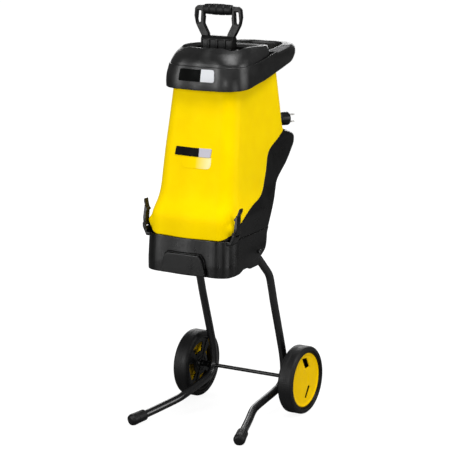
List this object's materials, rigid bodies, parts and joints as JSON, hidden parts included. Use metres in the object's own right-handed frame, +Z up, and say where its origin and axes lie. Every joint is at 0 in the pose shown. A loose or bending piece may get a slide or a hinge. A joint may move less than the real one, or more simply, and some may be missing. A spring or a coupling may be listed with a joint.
{
  "type": "electric garden shredder",
  "caption": "Wheeled electric garden shredder: tall moulded housing with hopper and plunger on a bent tube stand with a pair of wheels.",
  "frame": {"origin": "middle of the bounding box on the ground plane", "axes": "+Z up, -Y towards the front (discharge side), +X towards the side of the right wheel; symmetric about X = 0 except for the mains inlet and the switch box"},
  "size_m": [0.3522, 0.4246, 1.0495],
  "materials": {
    "yellow": "satin yellow moulded plastic",
    "black": "black moulded plastic",
    "hopper": "charcoal moulded plastic",
    "tube": "gloss black paint",
    "steel": "ground steel",
    "zinc": "zinc-plated steel",
    "rubber": "black rubber",
    "tyre": "smooth moulded tread",
    "iron": "dark steel",
    "copper": "lacquered copper windings and laminations",
    "cast": "die-cast aluminium",
    "white": "blank pale label",
    "silver": "blank silver label",
    "grey": "grey textured inlay",
    "green": "green key",
    "red": "red key",
    "brass": "brass"
  },
  "bodies": {
    "chassis": {"axle_clip_left": "zinc", "axle_clip_right": "zinc", "axle_rod": "tube", "axle_spacer_left": "black", "axle_spacer_right": "black", "bearing_lower": "steel", "bearing_upper": "steel", "counter_blade": "steel", "discharge_panel": "black", "foot_cap_left": "rubber", "foot_cap_right": "rubber", "hinge_pin": "steel", "latch_pin_left": "steel", "latch_pin_right": "steel", "leg_screw_left": "tube", "leg_screw_right": "tube", "leg_tube_left": "tube", "leg_tube_right": "tube", "lower_housing": "black", "motor_end_bell": "cast", "motor_flange": "cast", "motor_stator": "iron", "rear_housing": "black"},
    "upper_body": {"upper_housing": "yellow", "hopper_skirt": "hopper", "carry_grip_left": "grey", "carry_grip_right": "grey", "hopper_top": "hopper", "feed_funnel": "black", "badge_dark": "black", "badge_light": "white", "name_plate": "silver", "switch_box": "black", "inlet_body": "black", "inlet_pin_a": "brass", "inlet_pin_b": "brass"},
    "cutter": {"motor_shaft": "steel", "motor_armature": "copper", "cooling_fan": "black", "knife_disc": "iron", "blade_a": "steel", "blade_b": "steel", "blade_screw_a": "zinc", "blade_screw_b": "zinc", "disc_nut": "zinc"},
    "plunger": {"plunger_block": "hopper", "plunger_handle": "hopper", "plunger_grip": "rubber"},
    "wheel_left": {"tyre_left": "tyre", "rim_left": "black", "hub_disc_left": "yellow"},
    "wheel_right": {"tyre_right": "tyre", "rim_right": "black", "hub_disc_right": "yellow"},
    "latch_left": {"latch_lever_left": "black"},
    "latch_right": {"latch_lever_right": "black"},
    "on_key": {"button_on": "green"},
    "off_key": {"button_off": "red"}
  },
  "joints": [
    {"name": "housing_tilt", "type": "hinge", "parent": "chassis", "child": "upper_body", "pos_m": [0, 0.18725, 0.733], "axis": [-1, 0, 0], "range_deg": [0, 55]},
    {"name": "plunger_slide", "type": "slide", "parent": "upper_body", "child": "plunger", "axis": [0, 0, 1], "range_m": [0, 0.15]},
    {"name": "wheel_left_spin", "type": "hinge", "parent": "chassis", "child": "wheel_left", "pos_m": [-0.1554, 0.10725, 0.0875], "axis": [1, 0, 0], "continuous": true},
    {"name": "wheel_right_spin", "type": "hinge", "parent": "chassis", "child": "wheel_right", "pos_m": [0.1554, 0.10725, 0.0875], "axis": [1, 0, 0], "continuous": true},
    {"name": "cutter_spin", "type": "hinge", "parent": "chassis", "child": "cutter", "pos_m": [0, -0.05275, 0.464], "axis": [0, 0, 1], "continuous": true},
    {"name": "latch_left_swing", "type": "hinge", "parent": "chassis", "child": "latch_left", "pos_m": [-0.1275, -0.16975, 0.516], "axis": [0, -1, 0], "range_deg": [0, 75]},
    {"name": "latch_right_swing", "type": "hinge", "parent": "chassis", "child": "latch_right", "pos_m": [0.1275, -0.16975, 0.516], "axis": [0, 1, 0], "range_deg": [0, 75]},
    {"name": "on_key_press", "type": "slide", "parent": "upper_body", "child": "on_key", "axis": [0, -1, 0], "range_m": [0, 0.003]},
    {"name": "off_key_press", "type": "slide", "parent": "upper_body", "child": "off_key", "axis": [0, -1, 0], "range_m": [0, 0.003]}
  ]
}
